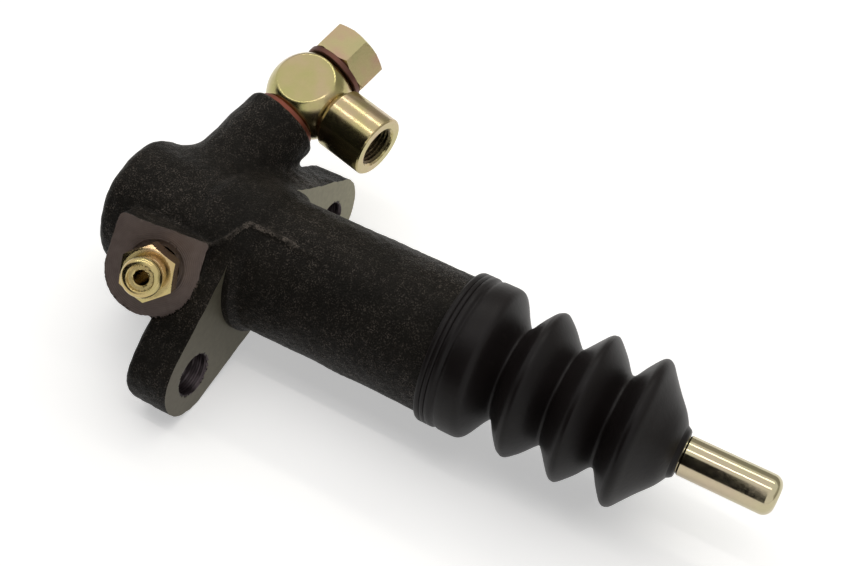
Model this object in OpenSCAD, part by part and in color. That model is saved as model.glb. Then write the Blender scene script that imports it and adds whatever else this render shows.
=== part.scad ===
// Hydraulic clutch slave cylinder: flange mounted, with a banjo elbow, a bleed screw and a bellows boot.
// +X runs along the barrel to the push rod's tip, and the two mounting holes lie on the Y axis.
// The origin is midway between those holes, on the machined face of the ears.

/* [Barrel] */
// Outside diameter of the cast barrel
barrel_d = 32; // [31:0.5:36]
// Length of the barrel in front of the ear face
barrel_front = 57.5; // [50:0.5:70]
// Length of the casting behind the ear face
barrel_back = 36; // [34.5:0.5:42]
// Rounding of the closed end's edge
end_round = 3; // [1:0.5:4]
// Height of the barrel's axis above the line of the mounting holes
axis_z = 11; // [9:0.5:14]
// Sideways distance of the barrel's axis from the middle of the mounting holes
axis_y = 0.95; // [0:0.05:2]
// Cylinder bore
bore_d = 20.6; // [19:0.1:22]
// Thickness of the closed end
end_wall = 8.5; // [6:0.5:9]

/* [Mounting ears] */
// Distance between the mounting holes
hole_spacing = 56.1; // [54:0.1:64]
// Diameter of the mounting holes
hole_d = 10; // [8.5:0.5:11]
// Radius of the rounded ear tips
ear_r = 9.9; // [9:0.1:12]
// Distance of the near ear's rounding outwards from its hole
near_tip = 0.3; // [0:0.1:2]
// Distance of the far ear's rounding outwards from its hole
far_tip = 2.2; // [0:0.1:3]
// Thickness of the ears
ear_t = 11; // [8:0.5:13]
// Size of the fillet between the backs of the ears and the barrel
ear_fillet = 4; // [2:0.5:6]
// Width of the cast rim between the machined ear face and the barrel
rim_w = 1.2; // [0.8:0.2:2]
// Height of that rim in front of the ear face
rim_h = 1.4; // [0.8:0.2:2.4]

/* [Port boss] */
// Distance of the port's axis from the closed end, along the barrel
port_start = 12.2; // [11.4:0.1:13.6]
// Direction of the port boss around the barrel, from the far ear upwards
port_roll = 17; // [7:1:25]
// Lean of the port boss towards the push rod
port_lean = 12; // [0:1:15]
// Distance of the port face from the barrel's axis
port_reach = 34.6; // [32:0.2:40]
// Diameter of the port boss
port_d = 19.6; // [18.8:0.2:22]
// Chamfer round the port face
port_edge = 1.2; // [0.4:0.1:1.4]
// Extra radius of the blend at the boss's root
port_flare = 4; // [2:0.5:6]
// Thread diameter of the banjo bolt
banjo_d = 10; // [9:0.5:11]
// Depth of the thread in the port boss
port_depth = 15; // [13:0.5:17]

/* [Elbow] */
// Width across the flats of the elbow's block
block_w = 16; // [15:0.2:18]
// Diameter of the round flats that the turned ball leaves on the block
flat_d = 14; // [13:0.1:15]
// Diameter of the elbow's tube
tube_d = 15.5; // [13.6:0.1:16]
// Diameter of the neck between block and tube
neck_d = 11; // [10:0.5:12.5]
// Distance from the bolt's axis to the tube's shoulder
tube_start = 9; // [8.8:0.1:11]
// Length of the tube
tube_len = 13.6; // [13:0.1:20]
// Turn of the elbow about the banjo bolt
elbow_turn = 5; // [-10:1:20]
// Diameter of the pipe thread's bore
pipe_d = 9; // [8.4:0.1:9.4]
// Depth of the pipe thread
pipe_depth = 12; // [10:0.5:12.5]

/* [Washers and banjo bolt] */
// Outside diameter of the copper washers
washer_d = 16; // [15:0.2:17.6]
// Thickness of the copper washers
washer_t = 1.5; // [1:0.1:2]
// Width across flats of the bolt's head
bolt_af = 15; // [13:0.5:17]
// Height of the bolt's head
bolt_head = 8.4; // [6:0.2:10]
// Turn of the bolt's hex about its axis
bolt_turn = 3; // [0:1:59]
// Length of the bolt's thread in the port boss
bolt_grip = 12; // [9:0.5:12.6]
// Diameter of the oil passages
passage_d = 3; // [2:0.2:3.6]

/* [Bleeder] */
// Distance of the bleeder's axis from the closed end, along the barrel
bleed_start = 14.2; // [13.2:0.1:15.4]
// Direction of the bleeder boss around the barrel, from the far ear upwards
bleed_roll = 139; // [134:1:142]
// Lean of the bleeder boss towards the push rod
bleed_lean = 20.5; // [17:0.5:22]
// Distance of the boss face from the barrel's axis
bleed_reach = 23.8; // [23:0.1:26]
// Sideways distance of the bleeder's axis from the barrel's axis
bleed_offset = 7.1; // [6:0.1:7.6]
// Radius of the boss's rounded end
boss_r = 10.1; // [9.4:0.1:11]
// Distance of the boss's straight edge from the bleeder's axis
boss_edge = 9.1; // [8.5:0.1:10]
// Thread diameter of the bleed screw
bleed_d = 10; // [8:0.5:10]
// Length of the bleed screw's thread
bleed_thread = 9; // [7:0.5:10]
// Width across flats of the bleed screw's hex
bleed_af = 11; // [10.6:0.2:13]
// Height of the bleed screw's hex
bleed_hex = 5.6; // [5:0.2:8]
// Turn of the bleed screw's hex about its axis, at rest
bleed_turn = 40; // [0:1:59]
// Gap between the boss face and the hex
bleed_gap = 2.4; // [1.5:0.1:4]
// Length of the hose nipple above the hex
nipple_len = 5.6; // [5.2:0.2:10]
// Diameter of the nipple's bead
nipple_d = 8.6; // [8:0.1:9.4]

/* [Boot] */
// Wall thickness of the rubber
boot_wall = 1.5; // [1:0.1:1.8]
// Length of the collar that grips the barrel
collar_len = 9.2; // [8.6:0.1:11]
// Outer radius of the folds
fold_r = 16.7; // [15.6:0.1:19]
// Radius of the valleys between the folds
valley_r = 10.6; // [9.6:0.1:11.4]
// Distance between two folds
fold_pitch = 11.6; // [11:0.1:13]
// Number of free folds
fold_count = 3; // [2:1:4]

/* [Push rod] */
// Diameter of the push rod
rod_d = 8.8; // [7.5:0.1:9.6]
// Length of the rod that shows in front of the boot
rod_show = 20.4; // [16:0.2:40]
// Rounding of the rod's tip
tip_round = 2.3; // [1:0.1:2.6]
// Depth of the groove that holds the boot's neck
neck_groove = 0.4; // [0.2:0.05:0.7]

/* [Piston] */
// Length of the piston
piston_len = 28; // [26:0.5:34]
// Distance from the ear face to the piston's pressure end, at rest
piston_x = 14; // [11:0.5:20]
// Radial running clearance of the piston and the seals
run_clear = 0.04; // [0.02:0.01:0.08]
// Depth of the rod's socket in the piston
socket_depth = 9; // [7:0.5:12]
// Length of the primary cup
cup_len = 6; // [5:0.5:8]
// Width of the rear seal
seal_w = 3; // [2.4:0.2:4]

/* [Return spring] */
// Mean diameter of the spring
spring_d = 15; // [13:0.5:16]
// Wire diameter of the spring
wire_d = 1.4; // [1:0.1:1.8]
// Number of turns
turns = 7; // [5:1:9]

/* [Hidden] */
$fn = 72;
eps = 0.01;
fit = 0.05;
far = 200;

barrel_r = barrel_d / 2;
bore_r = bore_d / 2;
bore_bottom = end_wall - barrel_back;
port_x = port_start - barrel_back;
bleed_x = bleed_start - barrel_back;
bolt_r = banjo_d / 2;
screw_r = bleed_d / 2;
passage_r = passage_d / 2;

// Seat of the boot on the barrel, with a shallow groove for the collar's bead
collar_x = barrel_front - collar_len + 0.2;
groove_x = collar_x + 2.6;
groove_w = 2.6;
groove_depth = 1.1;

// Port stack, measured along the port's axis from the barrel's axis
block_z = port_reach + washer_t;
block_mid = block_z + block_w / 2;
block_top = block_z + block_w;
head_z = block_top + washer_t;
ball_r = sqrt(pow(block_w / 2, 2) + pow(flat_d / 2, 2));
tube_end = tube_start + tube_len;

// Bleeder, measured along its own axis from the boss face
seat_cone = 2.6;
boss_mid = -0.7;
boss_root = 5;
hex_z = bleed_gap;
nipple_z = bleed_gap + bleed_hex;

// Boot, measured from the start of the collar
fold_x = collar_len + 5.3;
fold_round = 1.7;
valley_round = 0.9;
flank = atan(fold_pitch / 2 / (fold_r - valley_r));
fold_edge = fold_r + fold_round * (1 / sin(flank) - 1);
valley_edge = valley_r - valley_round * (1 / sin(flank) - 1);
nose_len = 4.1;
neck_len = 3.6;
boot_len = fold_x + fold_count * fold_pitch + nose_len;
boot_end = collar_x + boot_len;
neck_bore = rod_d / 2 - neck_groove + fit;
neck_r = neck_bore + 0.8 * boot_wall;
rod_tip = boot_end + rod_show;

// Piston and what lies in front of it
piston_r = bore_r - run_clear;
piston_end = piston_x + piston_len;
cup_x = piston_x - cup_len;
seat_t = 1.2;
seat_x = cup_x - seat_t;
socket_r = rod_d / 2 + 0.35;
rod_start = piston_end - socket_depth;
seal_x = piston_end - 8;
seal_depth = 1.8;

// Points of an arc about c, from angle a to angle b
function arc(c, r, a, b, n = 6) = [for (i = [0:n]) c + r * [cos(a + (b - a) * i / n), sin(a + (b - a) * i / n)]];

// Corner p of a path, rounded with radius r between the points before and after it
function round_corner(before, p, after, r) =
    let (u = (before - p) / norm(before - p),
         v = (after - p) / norm(after - p),
         half = acos(u * v) / 2,
         centre = p + (u + v) / norm(u + v) * r / sin(half),
         t1 = p + u * r / tan(half),
         t2 = p + v * r / tan(half),
         a1 = atan2(t1[1] - centre[1], t1[0] - centre[0]),
         a2 = atan2(t2[1] - centre[1], t2[0] - centre[0]),
         turn = a2 - a1 > 180 ? a2 - a1 - 360 : a2 - a1 < -180 ? a2 - a1 + 360 : a2 - a1)
    arc(centre, r, a1, a1 + turn, 5);

// Path of [radius, length, corner radius] entries with its corners rounded
function rounded_path(path) = [for (i = [0:len(path) - 1])
    let (p = [path[i][0], path[i][1]])
    each (path[i][2] == 0 ? [p] : round_corner([path[i - 1][0], path[i - 1][1]], p,
                                               [path[i + 1][0], path[i + 1][1]], path[i][2]))];

function backwards(path) = [for (i = [len(path) - 1:-1:0]) path[i]];

// Places its children on the barrel's axis, with local +Z along +X
module along_barrel(x = 0) {
    translate([x, axis_y, axis_z])
        rotate([0, 90, 0])
            children();
}

// Places its children on an axis that leaves the barrel's axis at x, with local +Z outwards
module out_of_barrel(x, roll, lean, offset = 0) {
    translate([x, axis_y, axis_z])
        rotate([roll, 0, 0])
            rotate([0, 0, -lean])
                rotate([-90, 0, 0])
                    translate([0, offset, 0])
                        children();
}

module at_port(z = 0) {
    out_of_barrel(port_x, port_roll, port_lean)
        translate([0, 0, z])
            children();
}

module at_bleeder(z = bleed_reach) {
    out_of_barrel(bleed_x, bleed_roll, bleed_lean, -bleed_offset)
        translate([0, 0, z])
            children();
}

// Cylinder with chamfered ends
module turned(r, h, bottom = 0.3, top = 0.3) {
    rotate_extrude()
        polygon([[0, 0], [r - bottom, 0], [r, bottom], [r, h - top], [r - top, h], [0, h]]);
}

// Hexagonal prism with its corners turned off at the top and bottom
module hex_prism(af, h) {
    corner = af / sqrt(3);
    cut = corner - af / 2;
    intersection() {
        cylinder(r = corner, h = h, $fn = 6);
        turned(corner + eps, h, cut, cut);
    }
}

// One ear in the plane of the flange: its round tip joined to the barrel by two lines, a hair inside the tangents
module ear_outline(side) {
    hub = [axis_y, axis_z];
    tip = [side * (hole_spacing / 2 + (side < 0 ? near_tip : far_tip)), 0];
    heading = atan2(tip[1] - hub[1], tip[0] - hub[0]);
    spread = acos((barrel_r - ear_r) / norm(tip - hub));
    upper = [cos(heading + spread), sin(heading + spread)];
    lower = [cos(heading - spread), sin(heading - spread)];
    root = barrel_r - fit;
    end = ear_r - fit;
    translate(tip)
        circle(r = ear_r);
    polygon([hub, hub + root * upper, tip + end * upper, tip, tip + end * lower, hub + root * lower]);
}

module ear(side) {
    translate([-ear_t, 0, 0])
        rotate([90, 0, 90])
            linear_extrude(ear_t)
                ear_outline(side);
}

// Fillets between one ear and the barrel: a wide one behind, and the cast rim that stops the machined face
module ear_fillets(side) {
    width = barrel_r + ear_r - 2;
    intersection() {
        translate([0, axis_y, axis_z])
            rotate([atan2(-axis_z, side * hole_spacing / 2 - axis_y), 0, 0])
                translate([-far / 2, 0, -width / 2])
                    cube([far, far, width]);
        union() {
            along_barrel(-ear_t - ear_fillet)
                cylinder(r1 = barrel_r, r2 = barrel_r + ear_fillet + 1, h = ear_fillet + 1);
            along_barrel(-1)
                cylinder(r = barrel_r + rim_w, h = rim_h + 1);
            along_barrel(rim_h)
                cylinder(r1 = barrel_r + rim_w, r2 = barrel_r, h = rim_w);
        }
    }
}

// Cast barrel with its rounded closed end, and the seat and groove for the boot
module barrel() {
    along_barrel()
        rotate_extrude()
            polygon(concat([[0, -barrel_back]],
                arc([barrel_r - end_round, end_round - barrel_back], end_round, -90, 0),
                [[barrel_r, groove_x], [barrel_r - groove_depth, groove_x + 0.3],
                 [barrel_r - groove_depth, groove_x + groove_w - 0.3], [barrel_r, groove_x + groove_w],
                 [barrel_r, barrel_front - 1], [barrel_r - 1, barrel_front], [0, barrel_front]]));
}

// Long round boss of the fluid port, flared where it leaves the barrel
module port_boss() {
    at_port()
        turned(port_d / 2, port_reach, 0, port_edge);
    at_port(barrel_r - 5)
        cylinder(r1 = port_d / 2 + port_flare, r2 = port_d / 2, h = 5 + port_flare);
}

// Boss of the bleed screw: straight towards the top of the barrel and round towards the ear
module bleeder_boss() {
    at_bleeder(boss_root)
        translate([boss_mid, 0, 0])
            linear_extrude(bleed_reach - boss_root) {
                translate([0, boss_edge - boss_r])
                    circle(r = boss_r);
                translate([-boss_r, boss_edge - boss_r])
                    square([2 * boss_r, boss_r]);
            }
}

// Oil ways and threads of both bosses, drilled from their faces into the bore
module drillings() {
    at_port(port_reach - port_depth)
        cylinder(r = bolt_r + fit, h = far);
    at_port()
        cylinder(r = passage_r, h = port_reach);
    at_bleeder(bleed_reach - bleed_thread)
        cylinder(r = screw_r + fit, h = far);
    at_bleeder(bleed_reach - 0.6)
        cylinder(r1 = screw_r + fit, r2 = screw_r + 0.7, h = 0.6 + eps);
    at_bleeder(bleed_reach - bleed_thread - seat_cone)
        cylinder(r1 = passage_r, r2 = screw_r + fit, h = seat_cone + eps);
    at_bleeder(0)
        cylinder(r = passage_r, h = bleed_reach - bleed_thread);
}

module housing() {
    color("#26221f")
        difference() {
            union() {
                barrel();
                for (side = [-1, 1]) {
                    ear(side);
                    ear_fillets(side);
                }
                port_boss();
                bleeder_boss();
            }
            along_barrel(bore_bottom)
                cylinder(r = bore_r, h = far);
            along_barrel(barrel_front - 1)
                cylinder(r1 = bore_r, r2 = bore_r + 1.2, h = 1 + eps);
            for (side = [-1, 1])
                translate([-far / 2, side * hole_spacing / 2, 0])
                    rotate([0, 90, 0])
                        cylinder(d = hole_d, h = far);
            drillings();
        }
}

// The elbow's block is a square bar turned to a ball, which leaves a round flat on each of its sides
module port_elbow() {
    color("#b5a468")
        at_port(block_mid)
            rotate([0, 0, elbow_turn])
                difference() {
                    union() {
                        intersection() {
                            sphere(r = ball_r);
                            cube([far, block_w, block_w], center = true);
                        }
                        rotate([0, 90, 0])
                            cylinder(d = neck_d, h = tube_start + 1);
                        translate([tube_start, 0, 0])
                            rotate([0, 90, 0])
                                turned(tube_d / 2, tube_len, 0.5, 0.5);
                    }
                    cylinder(r = bolt_r + fit, h = far, center = true);
                    rotate([0, 90, 0])
                        cylinder(r = passage_r, h = far);
                    translate([tube_end - pipe_depth, 0, 0])
                        rotate([0, 90, 0])
                            cylinder(d = pipe_d, h = far);
                    translate([tube_end - 0.8, 0, 0])
                        rotate([0, 90, 0])
                            cylinder(d1 = pipe_d, d2 = pipe_d + 1.6, h = 0.8 + eps);
                }
}

// Hollow bolt, waisted and cross drilled where the elbow's passage meets it
module banjo_bolt() {
    waist = 4.5;
    color("#c2ad6a")
        at_port()
            difference() {
                union() {
                    translate([0, 0, head_z])
                        rotate([0, 0, bolt_turn])
                            hex_prism(bolt_af, bolt_head);
                    translate([0, 0, port_reach - bolt_grip])
                        turned(bolt_r, head_z - port_reach + bolt_grip + 1, 1, 0);
                }
                translate([0, 0, block_mid - waist])
                    difference() {
                        cylinder(r = bolt_r + 1, h = 2 * waist);
                        cylinder(r = bolt_r - 1, h = 2 * waist);
                    }
                translate([0, 0, port_reach - bolt_grip - 1])
                    cylinder(r = passage_r, h = block_mid - port_reach + bolt_grip + 1 + passage_r);
                translate([0, 0, block_mid])
                    rotate([0, 90, 0])
                        cylinder(r = passage_r - 0.2, h = far, center = true);
            }
}

module copper_washer(z) {
    color("#8a4a34")
        at_port(z)
            difference() {
                turned(washer_d / 2, washer_t, 0.2, 0.2);
                translate([0, 0, -1])
                    cylinder(r = bolt_r + fit, h = washer_t + 2);
            }
}

module upper_washer() {
    copper_washer(block_top);
}

module lower_washer() {
    copper_washer(port_reach);
}

// Bleed screw: conical seat, thread, hex and hose nipple, drilled from the nipple to a cross hole
module bleeder_screw() {
    bead = nipple_d / 2;
    waist = bead - 1.1;
    color("#c6a75c")
        at_bleeder()
            difference() {
                union() {
                    translate([0, 0, -bleed_thread - seat_cone + fit])
                        rotate_extrude()
                            polygon([[0, 0], [passage_r, 0], [screw_r, seat_cone], [screw_r, bleed_thread + seat_cone - fit],
                                     [screw_r - 0.3, bleed_thread + seat_cone], [screw_r - 0.3, bleed_thread + seat_cone + hex_z + 1],
                                     [0, bleed_thread + seat_cone + hex_z + 1]]);
                    translate([0, 0, hex_z])
                        rotate([0, 0, bleed_turn])
                            hex_prism(bleed_af, bleed_hex);
                    translate([0, 0, nipple_z - 0.5])
                        rotate_extrude()
                            polygon(concat([[0, 0], [waist + 0.4, 0], [waist + 0.4, 0.5], [waist, 1.4], [waist, nipple_len - 3.4],
                                            [bead, nipple_len - 2]],
                                arc([bead - 1.5, nipple_len - 1], 1.5, 0, 90, 5), [[0, nipple_len + 0.5]]));
                }
                translate([0, 0, -bleed_thread + 1])
                    cylinder(r = passage_r, h = far);
                translate([0, 0, nipple_z + nipple_len - 1])
                    cylinder(r1 = passage_r, r2 = passage_r + 1.1, h = 1 + eps);
                translate([0, 0, -bleed_thread + 1 + passage_r])
                    rotate([0, 90, 0])
                        cylinder(r = passage_r - 0.3, h = far, center = true);
            }
}

// Outer line of the boot: ribbed collar, first round fold, free folds and the nose on the rod
function boot_outside() = let (collar_r = barrel_r + fit + boot_wall, end = boot_len)
    concat([[collar_r - 0.6, 0, 0], [collar_r, 0.5, 0], [collar_r, 1.1, 0], [collar_r - 0.25, 1.4, 0],
            [collar_r, 1.7, 0], [collar_r, 2.3, 0], [collar_r - 0.25, 2.6, 0], [collar_r, 2.9, 0],
            [collar_r, 3.6, 0], [collar_r - 0.5, 4.2, 0], [collar_r - 0.1, 4.9, 0],
            [collar_r - 0.1, collar_len + 0.6, 2], [valley_edge, fold_x, valley_round]],
           [for (i = [0:fold_count - 1]) each [
               [fold_edge, fold_x + (i + 0.5) * fold_pitch, fold_round],
               i < fold_count - 1 ? [valley_edge, fold_x + (i + 1) * fold_pitch, valley_round]
                                  : [neck_r + 0.6, end - 1.2, 1]]],
           [[neck_r, end, 0]]);

// Inner line of the boot, one wall inside the outer line, with the bead that sits in the barrel's groove
function boot_inside() = let (seat_r = barrel_r + fit, bead_r = seat_r - groove_depth + 0.1,
                              wall = boot_wall / sin(flank),
                              bead_x = groove_x - collar_x, end = boot_len)
    concat([[seat_r, 0, 0], [seat_r, bead_x + 0.1, 0], [bead_r, bead_x + 0.45, 0],
            [bead_r, bead_x + groove_w - 0.45, 0], [seat_r, bead_x + groove_w - 0.1, 0],
            [seat_r, collar_len + 0.1, 1], [valley_edge - wall * 0.8, fold_x, 1.6]],
           [for (i = [0:fold_count - 1]) each [
               [fold_edge - wall, fold_x + (i + 0.5) * fold_pitch, 0.6],
               i < fold_count - 1 ? [valley_edge - wall, fold_x + (i + 1) * fold_pitch, 1.6]
                                  : [neck_bore, end - neck_len, 0]]],
           [[neck_bore, end, 0]]);

module boot() {
    color("#171616")
        along_barrel(collar_x)
            rotate_extrude()
                polygon(concat(rounded_path(boot_outside()), backwards(rounded_path(boot_inside()))));
}

// Push rod: ball end in the piston's socket and a rounded tip for the release fork
module push_rod() {
    r = rod_d / 2;
    ball_z = rod_start + r + 0.3;
    groove_start = boot_end - neck_len - 0.3;
    groove_end = boot_end + 0.6;
    color("#b9b083")
        along_barrel() {
            translate([0, 0, ball_z])
                sphere(r = r);
            rotate_extrude()
                polygon(concat([[0, ball_z], [r, ball_z], [r, groove_start - neck_groove], [r - neck_groove, groove_start],
                                [r - neck_groove, groove_end - neck_groove], [r, groove_end]],
                               arc([r - tip_round, rod_tip - tip_round], tip_round, 0, 90), [[0, rod_tip]]));
        }
}

// Piston with a nose for the cup, a groove for the rear seal and a socket for the rod
module piston() {
    nose_r = bore_r * 0.42;
    color("#9a9da0")
        along_barrel()
            difference() {
                union() {
                    translate([0, 0, piston_x])
                        turned(piston_r, piston_len, 0.5, 0.8);
                    translate([0, 0, cup_x + 2])
                        turned(nose_r, cup_len, 0.5, 0);
                }
                translate([0, 0, seal_x])
                    difference() {
                        cylinder(r = bore_r + 1, h = seal_w + 2 * fit);
                        cylinder(r = piston_r - seal_depth, h = seal_w + 2 * fit);
                    }
                translate([0, 0, rod_start + socket_r])
                    sphere(r = socket_r);
                translate([0, 0, rod_start + socket_r])
                    cylinder(r = socket_r, h = far);
                translate([0, 0, piston_end - 4])
                    cylinder(r1 = socket_r, r2 = socket_r + 2.6, h = 4 + eps);
            }
}

// Cup seal: hollow towards the pressure, seated over the piston's nose
module primary_cup() {
    nose_r = bore_r * 0.42 + fit;
    color("#1c1b1a")
        along_barrel(cup_x)
            rotate_extrude()
                polygon([[nose_r, cup_len - fit], [nose_r, 2 - fit], [0, 2 - fit], [0, 0], [bore_r - 4, 0], [bore_r - 2.6, 2.2],
                         [bore_r - 1.2, 0], [piston_r, 0.4], [piston_r - 0.3, cup_len - fit]]);
}

module rear_seal() {
    color("#1c1b1a")
        along_barrel(seal_x + fit)
            rotate_extrude()
                polygon([[piston_r - seal_depth + fit, 0], [piston_r - 0.5, 0], [piston_r, 0.6], [piston_r, seal_w - 0.6],
                         [piston_r - 0.5, seal_w], [piston_r - seal_depth + fit, seal_w]]);
}

// Pressed steel seat with a hub that centres the spring on the cup
module spring_seat() {
    hub_r = spring_d / 2 - wire_d / 2 - 0.3;
    hub_len = 2.5 * seat_t;
    color("#8d8f90")
        along_barrel(seat_x)
            difference() {
                union() {
                    cylinder(r = spring_d / 2 + wire_d / 2, h = seat_t - fit);
                    translate([0, 0, -hub_len])
                        cylinder(r1 = hub_r - 0.5, r2 = hub_r, h = hub_len);
                }
                translate([0, 0, -hub_len - 1])
                    cylinder(r = hub_r - seat_t, h = hub_len + 1);
            }
}

// Point of the spring's centre line at turn t, with its end turns closed
function coil_point(t, length) =
    let (closed = 1, open = turns - 2 * closed, rise = (length - wire_d * (1 + 2 * closed)) / open,
         z = wire_d / 2 + (t < closed ? t * wire_d
             : t < turns - closed ? closed * wire_d + (t - closed) * rise
             : closed * wire_d + open * rise + (t - turns + closed) * wire_d))
    [spring_d / 2 * cos(360 * t), spring_d / 2 * sin(360 * t), z];

// Round wire wound along the coil, as one closed body
module return_spring() {
    steps = 16;
    sides = 8;
    length = seat_x - bore_bottom - 2 * fit;
    rings = turns * steps;
    points = [for (k = [0:rings], s = [0:sides - 1])
        let (t = k / steps, c = coil_point(t, length), out = wire_d / 2 * cos(360 * s / sides), up = wire_d / 2 * sin(360 * s / sides))
        [c[0] + out * cos(360 * t), c[1] + out * sin(360 * t), c[2] + up]];
    walls = [for (k = [0:rings - 1], s = [0:sides - 1])
        let (a = k * sides + s, b = k * sides + (s + 1) % sides)
        [a, b, b + sides, a + sides]];
    color("#77797b")
        along_barrel(bore_bottom + fit)
            polyhedron(points, concat([[for (s = [sides - 1:-1:0]) s]], walls,
                                      [[for (s = [0:sides - 1]) rings * sides + s]]), convexity = 10);
}

housing();
port_elbow();
banjo_bolt();
upper_washer();
lower_washer();
bleeder_screw();
boot();
push_rod();
piston();
primary_cup();
rear_seal();
spring_seat();
return_spring();
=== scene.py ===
"""Looks of the slave cylinder: cast body, plated fittings, copper seals, bellows boot and push rod."""
import math

import bpy
import numpy as np
from mathutils import Matrix, Vector


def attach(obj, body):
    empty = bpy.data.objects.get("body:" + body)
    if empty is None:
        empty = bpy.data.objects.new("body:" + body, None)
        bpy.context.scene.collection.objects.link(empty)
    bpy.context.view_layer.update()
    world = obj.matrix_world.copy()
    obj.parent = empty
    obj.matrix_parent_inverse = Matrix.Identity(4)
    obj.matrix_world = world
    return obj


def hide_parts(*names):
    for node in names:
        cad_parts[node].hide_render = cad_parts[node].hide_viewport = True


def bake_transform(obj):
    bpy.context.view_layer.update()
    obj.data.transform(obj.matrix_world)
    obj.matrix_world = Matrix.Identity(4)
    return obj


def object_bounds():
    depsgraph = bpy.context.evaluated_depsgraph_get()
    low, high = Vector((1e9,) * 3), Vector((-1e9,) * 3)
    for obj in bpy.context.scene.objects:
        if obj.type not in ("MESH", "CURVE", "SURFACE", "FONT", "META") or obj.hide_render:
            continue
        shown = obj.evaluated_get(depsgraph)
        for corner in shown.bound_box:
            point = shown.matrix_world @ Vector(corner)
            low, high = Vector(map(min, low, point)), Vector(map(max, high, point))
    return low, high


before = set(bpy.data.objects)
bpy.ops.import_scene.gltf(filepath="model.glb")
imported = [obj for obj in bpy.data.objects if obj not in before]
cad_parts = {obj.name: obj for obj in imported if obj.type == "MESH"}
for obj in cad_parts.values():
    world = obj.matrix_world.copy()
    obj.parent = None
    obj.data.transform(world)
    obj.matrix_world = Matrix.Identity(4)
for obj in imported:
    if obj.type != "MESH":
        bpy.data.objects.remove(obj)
cad_low, cad_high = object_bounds()
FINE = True

# Sizes in millimetres, in the part's frame, as the solids have them
AXIS_Y, AXIS_Z = 0.95, 11.0
BARREL_R, BORE_R = 16.0, 10.3
BARREL_BACK, BARREL_FRONT, BORE_END = -36.0, 57.5, -27.5
HOLE_Y, HOLE_R, EAR_R, EAR_T = 28.05, 5.0, 9.9, 11.0
EAR_TIPS = (-28.35, 30.25)
M10_DRILL_R = 5.05
PORT_START = np.array([-23.8, AXIS_Y, AXIS_Z])
PORT_R, PORT_REACH, PORT_DRILL_END = 9.8, 34.6, 19.2
BLOCK_MID, BLOCK_HALF, BALL_R = 44.1, 8.0, 10.63
TUBE_R, TUBE_START, TUBE_END, NECK_R, OIL_WAY_R = 7.75, 9.0, 22.6, 5.5, 1.5
PIPE_R, PIPE_DEPTH, PIPE_PITCH = 4.5, 12.0, 1.0
HEAD_Z, BOLT_AF, BOLT_HEAD, BOLT_SHANK_R, BOLT_SHANK_IN = 53.6, 15.0, 8.4, 4.95, 12.0
BLEED_START = np.array([-21.8, AXIS_Y, AXIS_Z])
BLEED_REACH, BLEED_OFFSET, BLEED_DRILL_END = 23.8, -7.1, 14.8
BOSS_HALF, BOSS_TOP, BOSS_MID_X, BOSS_MID_Y = 10.1, 9.1, -0.7, -1.0
BLEED_AF, HEX_LOW, HEX_HIGH, HEX_FOOT = 11.0, 2.4, 8.0, 5.0
SCREW_R, SCREW_LOW, SEAT_LOW, SEAT_R, SCREW_BORE_R = 4.7, -8.9, -11.5, 1.5, 1.6
COLLAR_R, COLLAR_HIGH, WAIST_R, WAIST_HIGH = 3.9, 9.2, 3.3, 12.0
BEAD_R, BEAD_LOW, NIPPLE_END = 4.3, 10.6, 13.6
BOOT_X, ROD_R, ROD_TIP, ROD_TIP_ROUND, ROD_BALL_X = 48.5, 4.4, 122.3, 2.3, 37.7
ROD_GROOVE, ROD_GROOVE_DEEP = (97.6, 102.5), 0.4

# What only the casting's look has, in millimetres: roundings, fillets, and the stock that milling takes off
BACK_ROUND, PORT_ROUND, EAR_ROUND, BOSS_ROUND, BOSS_CORNER = 3.0, 1.7, 1.5, 0.45, 1.3
PORT_FILLET, EAR_FILLET, BOSS_FILLET = 4.0, 2.6, 0.9
PORT_STOCK, EAR_STOCK, BOSS_STOCK = 0.5, 1.1, 0.25
EAR_FACE_R, PORT_FACE_R, SPOT_FACE_MARGIN = 17.3, 14.0, 0.5
BOSS_ROOT, SINK_R, SINK_DEPTH, HOLE_BEVEL = 4.0, 6.2, 0.7, 0.35
SWELL, SWELL_LENGTH, RIPPLE, RIPPLE_LENGTH, SKIN = 0.10, 9.0, 0.045, 2.6, 0.05

# The mould's raised line: its start beside the boss, then place along x, angle round the barrel and radius
RIDGE_R, RIDGE_START = 0.5, (8.6, 8.2, 23.0)
RIDGE = ((-3.8, 129.5, 17.1), (-2.1, 122.8, 17.1), (-1.1, 116, 17.0), (0.3, 108, 16.9), (2.9, 106.7, 16.1),
         (5.4, 106.2, 16.0), (8.2, 106.2, 15.9), (10.8, 107.5, 15.8), (14.0, 108, 15.5), (20.0, 108, 15.0))

# The photo's camera: lens and sensor in millimetres, eye in metres, and its directions right, up and ahead
LENS, SENSOR = 50.82, 36.0
EYE = (0.11395, -0.14893, 0.21363)
RIGHT, UP, AHEAD = (0.8708, 0.4890, 0.0513), (-0.3952, 0.6342, 0.6646), (-0.2924, 0.5990, -0.7455)

# The studio: levels of light, and in metres the floor's half side and its gap below the part
WORLD_LEVEL, FLOOR_GLOW = 0.08, 0.45
FLOOR_HALF, FLOOR_GAP = 1.0, 0.0002

# Numbers of the casting's materials
CAST, MILLED, SPOT_FACED, DRILLED, GLINT_EDGE = range(5)


# Helpers for shape

def leaving(roll, lean, turn=0.0):
    """Rows are the local x, y and z of an axis that leaves the barrel."""
    r, a, t = math.radians(roll), math.radians(lean), math.radians(turn)
    out = np.array([math.sin(a), math.cos(a) * math.cos(r), math.cos(a) * math.sin(r)])
    along = np.array([math.cos(a), -math.sin(a) * math.cos(r), -math.sin(a) * math.sin(r)])
    side = np.array([0.0, math.sin(r), -math.cos(r)])
    return np.array([math.cos(t) * along + math.sin(t) * side, math.cos(t) * side - math.sin(t) * along, out])


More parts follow.
